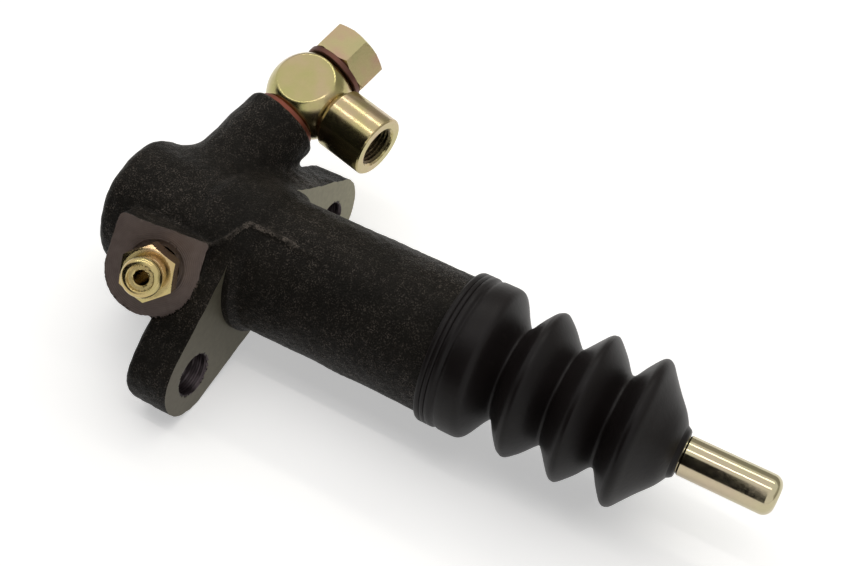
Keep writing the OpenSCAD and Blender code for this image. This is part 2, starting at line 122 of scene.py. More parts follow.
PORT = leaving(17, 12)
ELBOW = leaving(17, 12, 5)
BLEED = leaving(139, 20.5)
ALONG = np.array([[0.0, 0.0, -1.0], [0.0, 1.0, 0.0], [1.0, 0.0, 0.0]])
AXIS = np.array([0.0, AXIS_Y, AXIS_Z])
BLOCK = PORT_START + BLOCK_MID * PORT[2]
BOSS = BLEED_START + BLEED_OFFSET * BLEED[1]
BLEED_FACE = BOSS + BLEED_REACH * BLEED[2]


def local(p, origin, rows):
    """The x, y and z of points in a local frame."""
    return ((p - origin) @ rows.T).T


def join(a, b, r):
    """Union with a round fillet of radius r."""
    return np.maximum(r, np.minimum(a, b)) - np.hypot(np.maximum(r - a, 0), np.maximum(r - b, 0))


def meet(a, b, r):
    """Intersection with its edge rounded to radius r."""
    return -join(-a, -b, r)


def bevel(a, b, c):
    """Intersection with a flat chamfer of width c on its edge."""
    return np.maximum(np.maximum(a, b), (a + b + c) * math.sqrt(0.5))


def cut(body, a, b):
    """The body without the space where both a and b are positive."""
    return np.maximum(body, np.minimum(a, b))


def cylinder(q, z, r, low, high):
    """A cylinder of radius r from low to high, at the distance q from its axis."""
    return np.maximum(q - r, np.maximum(low - z, z - high))


def hex_head(x, y, z, af, turn, low, high, low_r, high_r):
    """A hexagon from low to high, its first flat at the angle turn, with coned ends of two radii."""
    slope, slack = 1.75, 0.5
    angle = [math.radians(turn + 60 * i) for i in range(3)]
    flats = np.max([np.abs(x * math.cos(a) + y * math.sin(a)) for a in angle], axis=0) - af / 2
    q = np.hypot(x, y)
    head = np.maximum(flats, np.maximum(low - z, z - high))
    head = np.maximum(head, (q - high_r + (z - high) * slope) * slack)
    return np.maximum(head, (q - low_r - (z - low) * slope) * slack)


def waves(p, length, seed):
    """Smooth bumps of about one unit, made of a few plane waves."""
    rng = np.random.default_rng(seed)
    total = np.zeros(len(p))
    for _ in range(9):
        d = rng.normal(size=3)
        d *= 2 * math.pi / (length * rng.uniform(0.7, 1.4) * np.linalg.norm(d))
        total += np.sin(p @ d + rng.uniform(0, 6.28))
    return total / 3


def stroke(p, a, b, r):
    """Distance to a round bar from a to b."""
    a, b = np.asarray(a, float), np.asarray(b, float)
    t = np.clip((p - a) @ (b - a) / ((b - a) @ (b - a)), 0, 1)
    return np.linalg.norm(p - a - t[:, None] * (b - a), axis=1) - r


def catmull(points, each):
    """Smooth curve through the points, with each steps from one to the next."""
    p = np.asarray(points, float)
    p = np.vstack([2 * p[0] - p[1], p, 2 * p[-1] - p[-2]])
    out = []
    for a, b, c, d in zip(p, p[1:], p[2:], p[3:]):
        for t in np.arange(each) / each:
            square = (2 * a - 5 * b + 4 * c - d) * t * t
            cube = (3 * b - a - 3 * c + d) * t ** 3
            out.append(0.5 * (2 * b + (c - a) * t + square + cube))
    out.append(p[-2])
    return np.array(out)


def turned(profile, origin, rows, count):
    """Points and faces of a closed profile of (radius, height) turned about the local z axis."""
    profile = np.asarray(profile, float)
    angle = 2 * math.pi * np.arange(count) / count
    r, z = profile[:, 0], profile[:, 1]
    x = np.outer(np.cos(angle), r)
    y = np.outer(np.sin(angle), r)
    points = np.stack([x, y, np.tile(z, (count, 1))], 2).reshape(-1, 3) @ rows + origin
    n = len(profile)
    faces = []
    for i in range(count):
        j = (i + 1) % count
        for k in range(n):
            m = (k + 1) % n
            if r[k] > 1e-6 or r[m] > 1e-6:
                faces.append((i * n + k, j * n + k, j * n + m, i * n + m))
    return points, faces


# Meshes from distances

def sampled(distance, ticks, slab=8):
    """The distance at each node of a grid, worked out one slab of nodes at a time."""
    field = np.empty([len(t) for t in ticks])
    for i in range(0, len(ticks[0]), slab):
        x, y, z = np.meshgrid(ticks[0][i:i + slab], ticks[1], ticks[2], indexing="ij")
        field[i:i + slab] = distance(np.stack([x.ravel(), y.ravel(), z.ravel()], 1)).reshape(x.shape)
    return field


def crossings(distance, field, low, step, axis):
    """Where the grid's lines along one axis cross the surface.

    Returns the points, their normals, the nodes below them and whether those lie inside.
    """
    here, there = [slice(None)] * 3, [slice(None)] * 3
    here[axis], there[axis] = slice(0, -1), slice(1, None)
    inside = field < 0
    at = np.argwhere(inside[tuple(here)] != inside[tuple(there)])
    outward = inside[tuple(at.T)]
    to = at.copy()
    to[:, axis] += 1
    f0, f1 = field[tuple(at.T)], field[tuple(to.T)]
    t0, t1 = np.zeros(len(at)), np.ones(len(at))
    start, run = low + step * at, step * np.eye(3)[axis]
    for trial in range(5):
        t = t0 + (t1 - t0) * (0.5 if trial == 2 else np.clip(f0 / (f0 - f1), 0.02, 0.98))
        f = distance(start + t[:, None] * run)
        low_side = (f < 0) == outward
        t0, f0 = np.where(low_side, t, t0), np.where(low_side, f, f0)
        t1, f1 = np.where(low_side, t1, t), np.where(low_side, f1, f)
    p = start + (t0 + (t1 - t0) * f0 / (f0 - f1))[:, None] * run
    n = np.stack([distance(p + d) - distance(p - d) for d in 0.01 * np.eye(3)], 1)
    n /= np.maximum(np.linalg.norm(n, axis=1), 1e-9)[:, None]
    return p, n, at, outward


def cell_points(rings, p, n, low, step, cells):
    """One point for each cell that the surface passes, as near as it gets to the planes of its crossings."""
    flat, spill = 0.06, 0.02
    used, index = np.unique(rings.ravel(), return_inverse=True)

    def gather(values):
        return np.bincount(index, np.repeat(values, 4), len(used))

    amount = gather(np.ones(len(p)))
    middle = np.stack([gather(p[:, i]) for i in range(3)], 1) / amount[:, None]
    pull = np.empty((len(used), 3, 3))
    for i in range(3):
        for j in range(i, 3):
            pull[:, i, j] = pull[:, j, i] = gather(n[:, i] * n[:, j])
    reach = np.einsum("ij,ij->i", n, p)
    right = np.stack([gather(n[:, i] * reach) for i in range(3)], 1) - np.einsum("nij,nj->ni", pull, middle)
    value, vector = np.linalg.eigh(pull)
    keep = value > flat * value[:, 2:3]
    inverse = np.where(keep, 1 / np.maximum(value, 1e-12), 0)
    shift = np.einsum("nij,nj->ni", vector, inverse * np.einsum("nji,nj->ni", vector, right))
    corner = low + step * np.stack(np.unravel_index(used, cells), 1)
    return used, np.clip(middle + shift, corner - spill * step, corner + (1 + spill) * step)


def contour(distance, low, high, step):
    """Mesh of the surface where distance is 0, with its sharp edges kept. Returns points and quads."""
    low, high = np.asarray(low, float), np.asarray(high, float)
    count = np.ceil((high - low) / step).astype(int) + 1
    field = sampled(distance, [low[i] + step * np.arange(count[i]) for i in range(3)])
    cells = count - 1
    stride = np.array([cells[1] * cells[2], cells[2], 1])
    rings, hits, slopes, faces = [], [], [], []
    for axis in range(3):
        p, n, at, outward = crossings(distance, field, low, step, axis)
        b, c = stride[(axis + 1) % 3], stride[(axis + 2) % 3]
        base = at @ stride
        ring = np.stack([base, base - b, base - b - c, base - c], 1)
        faces.append(np.where(outward[:, None], ring, ring[:, ::-1]))
        rings.append(ring)
        hits.append(p)
        slopes.append(n)
    rings, hits, slopes = np.concatenate(rings), np.concatenate(hits), np.concatenate(slopes)
    used, points = cell_points(rings, hits, slopes, low, step, cells)
    return points, np.searchsorted(used, np.concatenate(faces))


def mesh_object(name, points, faces, body, node, sharp=34):
    """A piece from points in millimetres, riding on a body if one is named."""
    mesh = bpy.data.meshes.new(name)
    mesh.from_pydata((np.asarray(points) / 1000).tolist(), [], [list(map(int, f)) for f in faces])
    mesh.validate()
    mesh.polygons.foreach_set("use_smooth", np.ones(len(mesh.polygons), bool))
    mesh.set_sharp_from_angle(angle=math.radians(sharp))
    piece = bpy.data.objects.new(name, mesh)
    bpy.context.scene.collection.objects.link(piece)
    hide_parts(node)
    if body:
        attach(piece, body)
    return piece


def paint(piece, materials, choose=None):
    """Gives the piece its materials; choose maps face centres in millimetres and normals to their numbers."""
    piece.data.materials.clear()
    for m in materials:
        piece.data.materials.append(m)
    if choose:
        count = len(piece.data.polygons)
        centre, normal = np.empty(count * 3), np.empty(count * 3)
        piece.data.polygons.foreach_get("center", centre)
        piece.data.polygons.foreach_get("normal", normal)
        number = choose(centre.reshape(-1, 3) * 1000, normal.reshape(-1, 3))
        piece.data.polygons.foreach_set("material_index", number.astype(np.int32))


# Materials

class Look:
    """A procedural material in object coordinates, in metres."""

    def __init__(self, name):
        self.material = bpy.data.materials.new(name)
        self.material.use_nodes = True
        self.tree = self.material.node_tree
        self.shader = self.tree.nodes["Principled BSDF"]
        self.coords = self.tree.nodes.new("ShaderNodeTexCoord").outputs["Object"]

    def node(self, kind, inputs, **settings):
        """A node whose inputs are outputs of other nodes or plain values."""
        n = self.tree.nodes.new(kind)
        for key, value in settings.items():
            setattr(n, key, value)
        for key, value in inputs.items():
            if hasattr(value, "is_output"):
                self.tree.links.new(value, n.inputs[key])
            else:
                n.inputs[key].default_value = value
        return n

    def noise(self, size, detail, rough=0.55, stretch=(1, 1, 1), shift=0.0):
        """Noise with bumps about size metres across."""
        place = {"Vector": self.coords, "Scale": stretch, "Location": (shift, shift, shift)}
        vector = self.node("ShaderNodeMapping", place).outputs[0]
        inputs = {"Vector": vector, "Scale": 0.6 / size, "Detail": detail, "Roughness": rough}
        return self.node("ShaderNodeTexNoise", inputs).outputs["Fac"]

    def ramp(self, value, stops):
        """A ramp through (place, colour) stops, where a plain number is a grey."""
        n = self.node("ShaderNodeValToRGB", {"Fac": value})
        ramp = n.color_ramp
        while len(ramp.elements) < len(stops):
            ramp.elements.new(0.5)
        for e, (place, colour) in zip(ramp.elements, stops):
            e.position = place
            e.color = (*colour, 1) if isinstance(colour, tuple) else (colour, colour, colour, 1)
        return n.outputs["Color"]

    def mix(self, factor, a, b):
        n = self.node("ShaderNodeMix", {}, data_type="RGBA")
        for socket, value in ((n.inputs[0], factor), (n.inputs[6], a), (n.inputs[7], b)):
            if hasattr(value, "is_output"):
                self.tree.links.new(value, socket)
            else:
                socket.default_value = (*value, 1) if isinstance(value, tuple) else value
        return n.outputs[2]

    def maths(self, kind, a, b=0.0):
        return self.node("ShaderNodeMath", {0: a, 1: b}, operation=kind).outputs[0]

    def times(self, a, b):
        return self.maths("MULTIPLY", a, b)

    def bump(self, height, distance, strength, under=None):
        inputs = {"Height": height, "Distance": distance, "Strength": strength}
        if under is not None:
            inputs["Normal"] = under
        return self.node("ShaderNodeBump", inputs).outputs["Normal"]

    def parts(self, vector):
        """The x, y and z of a vector."""
        return self.node("ShaderNodeSeparateXYZ", {"Vector": vector}).outputs

    def about(self, origin, rows):
        """The x, y and z, in metres, in a local frame."""
        turn = Matrix([list(r) for r in rows]).to_euler()
        place = {"Vector": self.coords, "Location": tuple(-(rows @ origin) / 1000), "Rotation": tuple(turn)}
        return self.parts(self.node("ShaderNodeMapping", place).outputs[0])

    def finish(self, **sockets):
        """Sets or links the shader's sockets, which are named with _ for a space."""
        for key, value in sockets.items():
            socket = self.shader.inputs[key.replace("_", " ")]
            if hasattr(value, "is_output"):
                self.tree.links.new(value, socket)
            else:
                socket.default_value = (*value, 1) if isinstance(value, tuple) else value
        return self.material


def cast_look(name, edge_glint=0.0):
    """Black coating over grain, with bright grains painted into the colour as glints; edge_glint brings out
    more of them, as a painted highlight along edges.
    """
    k = Look(name)
    patch = k.noise(0.006, 2)
    grain = k.noise(0.00021, 2, 0.6)
    colour = k.ramp(patch, [(0.3, (0.004, 0.0034, 0.0024)), (0.7, (0.010, 0.0085, 0.0066))])
    spread = k.ramp(k.noise(0.012, 2, shift=edge_glint), [(0.3, 0.25), (0.65, 1.0)])
    clump = k.ramp(k.noise(0.0011, 2, shift=0.4), [(0.38, 0.15), (0.62, 1.0)])
    # Painted glints: where the fine grain noise peaks, thinned out at random by spread and clump, the colour
    # turns to light specks; the grain's relief in the bumps below is real.
    bright = k.ramp(grain, [(0.50 - edge_glint, 0.0), (0.75 - edge_glint, 1.0)])
    colour = k.mix(k.times(bright, k.times(spread, clump)), colour, (0.16, 0.135, 0.115))
    normal = k.bump(k.noise(0.0022, 3, 0.6), 0.00025, 0.5)
    normal = k.bump(grain, 0.0003, 0.9, normal)
    rough = k.ramp(grain, [(0.3, 0.6), (0.7, 0.36)])
    return k.finish(Base_Color=colour, Roughness=rough, Normal=normal, Specular_IOR_Level=0.08)


def milled_look():
    """Bare iron with the cutter's lines, painted lighter towards the far ear, where more light falls."""
    k = Look("milled_face")
    grain = k.noise(0.0009, 3)
    lines = k.noise(0.0012, 2, stretch=(1.0, 1.0, 6.0))
    # Painted light: the colour runs from darker at the near ear to lighter at the far ear along y, standing in
    # for the brighter light at the far side.
    across = k.maths("ADD", k.times(k.parts(k.coords)["Y"], 8.0), 0.5)
    colour = k.ramp(across, [(0.2, (0.15, 0.135, 0.10)), (0.8, (0.32, 0.30, 0.20))])
    colour = k.mix(k.times(grain, 0.5), colour, (0.06, 0.052, 0.04))
    return k.finish(Base_Color=colour, Roughness=0.5, Metallic=0.55, Normal=k.bump(lines, 0.00008, 0.5))


def spot_face_look():
    """Bare iron with the rings of a spot facer about the bleeder's axis."""
    k = Look("spot_face")
    x, y, _ = k.about(BLEED_FACE, BLEED)
    radius = k.maths("SQRT", k.maths("ADD", k.times(x, x), k.times(y, y)))
    rings = k.maths("SINE", k.times(radius, 2 * math.pi / 0.00042))
    colour = k.mix(k.noise(0.0011, 3), (0.075, 0.055, 0.050), (0.15, 0.115, 0.10))
    colour = k.mix(k.times(rings, 0.12), colour, (0.20, 0.15, 0.13))
    normal = k.bump(k.times(rings, k.noise(0.004, 2)), 0.00003, 0.6)
    return k.finish(Base_Color=colour, Roughness=0.42, Metallic=0.6, Normal=normal)


def drilled_look():
    """Dark iron with the drill's rings along x."""
    k = Look("drilled_hole")
    rings = k.maths("SINE", k.times(k.parts(k.coords)["X"], 2 * math.pi / 0.0012))
    colour = k.mix(k.noise(0.002, 3), (0.028, 0.020, 0.021), (0.10, 0.078, 0.085))
    return k.finish(Base_Color=colour, Roughness=0.35, Metallic=0.7, Normal=k.bump(rings, 0.00012, 0.7))


def plating_look(name, base, warm, cool, rough, seed=0.0):
    """Zinc with a yellow passivation that drifts to pink and green."""
    k = Look(name)
    drift = k.noise(0.005, 2, shift=seed)
    fine = k.noise(0.0006, 3, shift=seed)
    colour = k.ramp(drift, [(0.32, cool), (0.48, base), (0.66, warm)])
    colour = k.mix(k.times(fine, 0.35), colour, tuple(0.72 * v for v in base))
    normal = k.bump(k.noise(0.0005, 2), 0.00001, 0.3)
    dull = k.ramp(fine, [(0.3, rough - 0.03), (0.7, rough + 0.05)])
    return k.finish(Base_Color=colour, Roughness=dull, Metallic=1.0, Normal=normal)


def copper_look(name, colour_a, colour_b, rough):
    k = Look(name)
    colour = k.mix(k.noise(0.002, 3), colour_a, colour_b)
    normal = k.bump(k.noise(0.0005, 2), 0.00005, 0.4)
    return k.finish(Base_Color=colour, Roughness=rough, Metallic=0.9, Normal=normal)


def rubber_look():
    """Black rubber with patches of sheen and a little dust."""
    k = Look("boot_rubber")
    patch = k.noise(0.008, 3)
    dust = k.ramp(k.noise(0.0012, 4, 0.7), [(0.62, 0.0), (0.8, 0.3)])
    colour = k.mix(patch, (0.0045, 0.0036, 0.0036), (0.0095, 0.0072, 0.007))
    colour = k.mix(dust, colour, (0.04, 0.033, 0.03))
    normal = k.bump(k.noise(0.0006, 3), 0.00006, 0.5)
    rough = k.ramp(patch, [(0.3, 0.36), (0.7, 0.46)])
    return k.finish(Base_Color=colour, Roughness=rough, Normal=normal, Specular_IOR_Level=0.16)


# The casting

def barrel_radius(p):
    return np.hypot(p[:, 1] - AXIS_Y, p[:, 2] - AXIS_Z)


def ear_plan(y, z, tip):
    """Distance to one ear's outline: the shape spanned by the barrel's circle and the tip's circle."""
    across = np.array([tip - AXIS_Y, -AXIS_Z])
    h = across @ across
    py, pz = y - AXIS_Y, z - AXIS_Z
    u = np.abs(py * across[1] - pz * across[0]) / h
    v = (py * across[0] + pz * across[1]) / h
    b = BARREL_R - EAR_R
    a = math.sqrt(h - b * b)
    turn = a * v - b * u
    along = a * u + b * v
    square = u * u + v * v
    at_tip = np.sqrt(np.maximum(h * (square + 1 - 2 * v), 0)) - EAR_R
    beyond = np.where(turn > a, at_tip, along - BARREL_R)
    return np.where(turn < 0, np.sqrt(h * square) - BARREL_R, beyond)


def boss_plan(bx, by):
    """Distance to the outline of the bleeder's boss: a half circle with a square upper part."""
    ex = np.abs(bx - BOSS_MID_X)
    round_part = np.hypot(ex, by - BOSS_MID_Y) - BOSS_HALF
    square_part = meet(ex - BOSS_HALF, by - BOSS_TOP, BOSS_CORNER)
    return np.where(by < BOSS_MID_Y, round_part, square_part)


def ridge(p, r):
    """Distance to the raised line that the mould left from the bleeder's boss over the near ear."""
    crest = [BOSS + np.array(RIDGE_START) @ BLEED]
    for x, angle, high in RIDGE:
        t = math.radians(angle)
        crest.append((x, AXIS_Y + high * math.cos(t), AXIS_Z + high * math.sin(t)))
    return np.min([stroke(p, a, b, r) for a, b in zip(crest, crest[1:])], axis=0)


def casting(p):
    """Distance to the casting: rough forms joined by fillets, then milled, faced and drilled."""
    x, y, z = p.T
    q = barrel_radius(p)
    body = meet(q - BARREL_R, BARREL_BACK - x, BACK_ROUND)
    px, py, pz = local(p, PORT_START, PORT)
    port_q = np.hypot(px, py)
    port = np.maximum(meet(port_q - PORT_R, pz - PORT_REACH - PORT_STOCK, PORT_ROUND), -pz)
    body = join(body, port, PORT_FILLET)
    for tip in EAR_TIPS:
        thick = np.abs(x + (EAR_T - EAR_STOCK) / 2) - (EAR_T + EAR_STOCK) / 2
        body = join(body, meet(ear_plan(y, z, tip), thick, EAR_ROUND), EAR_FILLET)
    bx, by, bz = local(p, BOSS, BLEED)
    boss_q = np.hypot(bx, by)
    plan = boss_plan(bx, by)
    boss = np.maximum(meet(plan, bz - BLEED_REACH - BOSS_STOCK, BOSS_ROUND), BOSS_ROOT - bz)
    body = join(join(body, boss, BOSS_FILLET), ridge(p, RIDGE_R), BOSS_FILLET)
    body = body + SWELL * waves(p, SWELL_LENGTH, 3) + RIPPLE * waves(p, RIPPLE_LENGTH, 4) + SKIN
    body = np.maximum(body, x - BARREL_FRONT)
    body = cut(body, x, q - EAR_FACE_R)
    body = cut(body, pz - PORT_REACH, PORT_FACE_R - port_q)
    body = cut(body, bz - BLEED_REACH, SPOT_FACE_MARGIN - plan)
    for side in (-1, 1):
        body = bevel(body, HOLE_R - np.hypot(y - side * HOLE_Y, z), HOLE_BEVEL)
    body = cut(body, BORE_R - q, x - BORE_END)
    body = cut(body, M10_DRILL_R - port_q, pz - PORT_DRILL_END)
    body = cut(body, M10_DRILL_R - boss_q, bz - BLEED_DRILL_END)
    return cut(body, SINK_R - boss_q, bz - (BLEED_REACH - SINK_DEPTH))


def casting_face(c, n):
    """The material's number at each face centre c with normal n."""
    near, level = 0.05, 0.98
    glint_r, glint_end, edge = 0.7, 13, 0.5
    number = np.full(len(c), CAST)
    # Painted highlight: the mould line's crest up to x = 13 gets the casting look with more bright grains,
    # standing in for the light on that edge.
    number[(ridge(c, glint_r) < 0) & (c[:, 0] < glint_end)] = GLINT_EDGE
    number[(np.abs(c[:, 0]) < near) & (n[:, 0] > level) & (barrel_radius(c) > BARREL_R + 1.2)] = MILLED
    _, _, pz = local(c, PORT_START, PORT)
    number[(np.abs(pz - PORT_REACH) < near) & (n @ PORT[2] > level)] = SPOT_FACED
    bx, by, bz = local(c, BOSS, BLEED)
    plan = boss_plan(bx, by)
    # Painted highlight: the boss's rim, away from its round lower end, gets the same brighter grains.
    number[(np.abs(plan) < edge) & (np.abs(bz - BLEED_REACH) < edge + 0.1) & (by > -4)] = GLINT_EDGE
    number[(np.abs(bz - BLEED_REACH) < 0.08) & (n @ BLEED[2] > 0.9) & (plan < 0.1)] = SPOT_FACED
    inside = (bz > BLEED_DRILL_END - 0.8) & (bz < BLEED_REACH - near)
    number[inside & (np.hypot(bx, by) < SINK_R + 0.1)] = SPOT_FACED
    for side in (-1, 1):
        number[np.hypot(c[:, 1] - side * HOLE_Y, c[:, 2]) < HOLE_R + 0.3] = DRILLED
    return number


def make_casting():
    step = 0.42 if FINE else 1.0
    points, quads = contour(casting, (-37.8, -41.2, -12.2), (59.4, 42.2, 33.0), step)
    piece = mesh_object("cast_housing", points, quads, "cylinder", "housing")
    # The second casting look, with more painted glints, is the painted highlight on the mould line and the
    # boss's rim.
    cast, edge_glint = cast_look("black_casting"), cast_look("glinting_edge", 0.16)
    paint(piece, [cast, milled_look(), spot_face_look(), drilled_look(), edge_glint], casting_face)


# The fittings

def elbow(p):
    """Distance to the elbow: a ball with four flats and a tube with the pipe's thread."""
    side_bevel, top_bevel, tube_bevel, shoulder, crease = 0.18, 0.15, 0.35, 1.0, 0.5
    tooth_foot, tooth_deep, tooth_slope, tooth_flat, slack = 0.12, 0.5, 1.35, 0.2, 0.7
    mouth_wide, mouth_deep = 0.95, 1.2
    x, y, z = local(p, BLOCK, ELBOW)
    ball = np.linalg.norm(np.stack([x, y, z]), axis=0) - BALL_R
    block = bevel(bevel(ball, np.abs(y) - BLOCK_HALF, side_bevel), np.abs(z) - BLOCK_HALF, top_bevel)
    q = np.hypot(y, z)
    neck = cylinder(q, x, NECK_R, 0, TUBE_START + 1)
    tube = bevel(bevel(q - TUBE_R, x - TUBE_END, tube_bevel), TUBE_START - x, shoulder)
    body = join(np.minimum(block, neck), tube, crease)
    turn = np.arctan2(z, y) / (2 * math.pi)
    tooth = np.abs(((x / PIPE_PITCH - turn) % 1.0) - 0.5) * 2
    thread = PIPE_R + tooth_foot + tooth_deep * np.clip(tooth * tooth_slope - tooth_flat, 0, 1)
    body = cut(body, (thread - q) * slack, x - (TUBE_END - PIPE_DEPTH))
    mouth = q - PIPE_R - mouth_wide + (TUBE_END - x)
    body = cut(body, -mouth, x - (TUBE_END - mouth_deep))
    body = cut(body, OIL_WAY_R - q, x)
    return np.maximum(body, M10_DRILL_R - np.hypot(x, y))


def elbow_face(c, n):
    """0 outside, 1 in the threaded bore, which gets the darker plating as painted shade."""
    x, y, z = local(c, BLOCK, ELBOW)
    along = (x > TUBE_END - PIPE_DEPTH - 1) & (x < TUBE_END - 0.5)
    return (along & (np.hypot(y, z) < PIPE_R + 0.9)).astype(int)


def make_elbow():
    step = 0.22 if FINE else 0.5
    points, quads = contour(elbow, BLOCK - [13, 13, 13], BLOCK + [25, 14, 13], step)
    piece = mesh_object("plated_elbow", points, quads, "cylinder", "port_elbow")
    bright = plating_look("yellow_zinc", (0.46, 0.39, 0.19), (0.50, 0.38, 0.24), (0.42, 0.39, 0.16), 0.20)
    # Painted shade: the threaded bore gets a much darker plating, standing in for the shade inside the tube.
    dull = plating_look("shaded_thread", (0.11, 0.09, 0.045), (0.13, 0.09, 0.055), (0.08, 0.075, 0.035), 0.34)
    paint(piece, [bright, dull], elbow_face)


def bolt(p):
    """Distance to the banjo bolt: a hex head with coned ends on a plain shank."""
    x, y, z = local(p, PORT_START, PORT)
    head = hex_head(x, y, z, BOLT_AF, 33, HEAD_Z, HEAD_Z + BOLT_HEAD, 7.7, 7.25)
    shank = cylinder(np.hypot(x, y), z, BOLT_SHANK_R, PORT_REACH - BOLT_SHANK_IN, HEAD_Z + 1)
    return np.minimum(head, shank)


def make_bolt():
    step = 0.3 if FINE else 0.6
    middle = PORT_START + 41 * PORT[2]
    points, quads = contour(bolt, middle - [10, 23, 12], middle + [15, 25, 17], step)
    piece = mesh_object("plated_bolt", points, quads, "cylinder", "banjo_bolt")
    base, warm, cool = (0.50, 0.42, 0.22), (0.52, 0.34, 0.24), (0.44, 0.42, 0.20)
    paint(piece, [plating_look("bolt_zinc", base, warm, cool, 0.18, 0.3)])


def bleeder(p):
    """Distance to the bleed screw: coned seat, shank, hex, collar, waist and beaded nipple, with its bore."""
    seat_high, seat_slope, slack = -8, 1.3, 0.6
    top_round, foot_round, collar_crease, bead_crease = 1.3, 0.8, 0.6, 0.7
    mouth_r, mouth_deep, mouth_bevel = 2.75, 0.8, 0.2
    x, y, z = local(p, BLEED_FACE, BLEED)
    q = np.hypot(x, y)
    head = hex_head(x, y, z, BLEED_AF, 10, HEX_LOW, HEX_HIGH, 5.75, 5.35)
    shank = cylinder(q, z, SCREW_R, SCREW_LOW, HEX_FOOT)
    cone = (q - SEAT_R - (z - SEAT_LOW) * seat_slope) * slack
    seat = np.maximum(cone, np.maximum(SEAT_LOW - z, z - seat_high))
    collar = cylinder(q, z, COLLAR_R, HEX_FOOT, COLLAR_HIGH)
    neck = join(collar, cylinder(q, z, WAIST_R, HEX_FOOT, WAIST_HIGH), collar_crease)
    bead = meet(meet(q - BEAD_R, z - NIPPLE_END, top_round), BEAD_LOW - z, foot_round)
    body = np.minimum(np.minimum(head, shank), np.minimum(seat, join(neck, bead, bead_crease)))
    body = cut(body, SCREW_BORE_R - q, z - seat_high)
    return bevel(body, -np.maximum(q - mouth_r, NIPPLE_END - mouth_deep - z), mouth_bevel)


def make_bleeder():
    step = 0.22 if FINE else 0.5
    points, quads = contour(bleeder, BLEED_FACE - [12, 18, 18], BLEED_FACE + [14, 16, 16], step)
    piece = mesh_object("plated_bleeder", points, quads, "bleeder", "bleeder_screw")
    base, warm, cool = (0.52, 0.40, 0.18), (0.54, 0.36, 0.22), (0.46, 0.40, 0.18)
    paint(piece, [plating_look("bleeder_zinc", base, warm, cool, 0.20, 0.7)])


# Boot, rod, washers and spring

def boot_profile():
    """Closed profile of (radius, length from the collar's start)."""
    collar = [(16.9, 0.0), (17.35, 0.15), (17.5, 0.5), (17.5, 1.15), (17.2, 1.35), (17.5, 1.6), (17.5, 2.25),
              (17.2, 2.45), (17.5, 2.7), (17.5, 3.5), (17.35, 3.8), (16.95, 4.1), (16.9, 4.35), (17.2, 4.75),
              (17.38, 5.3), (17.4, 6.6), (17.4, 8.2)]
    folds = [(17.3, 9.1), (16.9, 9.9), (15.9, 10.7), (12.9, 12.5), (11.2, 13.7), (10.65, 14.5), (11.3, 15.3),
             (13.6, 16.8), (15.8, 18.5), (16.4, 19.3), (16.65, 20.1), (16.2, 21.0), (14.4, 23.0), (12.0, 25.1),
             (11.1, 26.2), (11.9, 27.2), (14.8, 29.5), (16.2, 30.7), (16.65, 31.6), (16.3, 32.6), (13.6, 35.2),
             (11.1, 37.1), (10.5, 38.0), (11.1, 38.8), (13.5, 40.3), (15.8, 42.0), (16.5, 42.8), (16.6, 43.6),
             (16.0, 44.6), (14.2, 46.0), (11.4, 48.2), (8.6, 50.6), (6.8, 51.8), (5.85, 52.3)]
    lip = [(5.5, 52.9), (5.2, 53.3), (4.9, 53.45)]
    mouth = [(4.2, 53.45), (4.05, 53.3), (4.05, 49.9)]
    inner = [(5.3, 49.2), (7.6, 47.9), (12.0, 45.2), (14.9, 43.2), (12.0, 40.6), (8.6, 38.0), (12.0, 34.4),
             (14.9, 31.6), (12.0, 28.3), (9.1, 26.2), (12.0, 23.0), (14.9, 20.0), (12.0, 17.2), (8.8, 14.5),
             (12.0, 11.6), (15.0, 9.8), (16.05, 9.2)]
    bead = [(16.05, 5.1), (15.05, 4.8), (15.05, 2.8), (16.05, 2.5), (16.05, 0.1)]
    outer = catmull([collar[-1]] + folds, 6)
    return np.vstack([collar[:-1], outer, lip, mouth, catmull(inner, 4), bead])


def make_boot():
    points, faces = turned(boot_profile(), AXIS + [BOOT_X, 0, 0], ALONG, 144 if FINE else 72)
    piece = mesh_object("rubber_boot", points, faces, None, "boot", 60)
    paint(piece, [rubber_look()])
    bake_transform(piece)


def make_rod():
    """The push rod: a ball at the piston, a groove for the boot and a rounded tip."""
    quarter = math.pi / 2
    ball = [(ROD_R * math.cos(t), ROD_BALL_X + ROD_R * math.sin(t)) for t in np.linspace(-quarter, 0, 14)]
    start, end = ROD_GROOVE
    deep = ROD_R - ROD_GROOVE_DEEP
    groove = [(ROD_R, start), (deep, start + ROD_GROOVE_DEEP), (deep, end - ROD_GROOVE_DEEP), (ROD_R, end)]
    mid_r, mid_x = ROD_R - ROD_TIP_ROUND, ROD_TIP - ROD_TIP_ROUND
    tip = [(mid_r + ROD_TIP_ROUND * math.cos(t), mid_x + ROD_TIP_ROUND * math.sin(t))
           for t in np.linspace(0, quarter, 12)]
    centre = [(0.0, ROD_TIP), (0.0, ROD_BALL_X - ROD_R)]
    points, faces = turned(ball[1:] + groove + tip + centre, AXIS, ALONG, 96)
    piece = mesh_object("plated_rod", points, faces, "piston", "push_rod")
    base, warm, cool = (0.52, 0.46, 0.30), (0.52, 0.43, 0.31), (0.48, 0.45, 0.28)
    paint(piece, [plating_look("rod_zinc", base, warm, cool, 0.12, 1.1)])


def make_washers():
    dark = copper_look("dark_copper", (0.07, 0.032, 0.025), (0.16, 0.07, 0.05), 0.45)
    red = copper_look("copper", (0.13, 0.04, 0.026), (0.22, 0.07, 0.045), 0.42)
    paint(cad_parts["upper_washer"], [dark])
    paint(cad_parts["lower_washer"], [red])


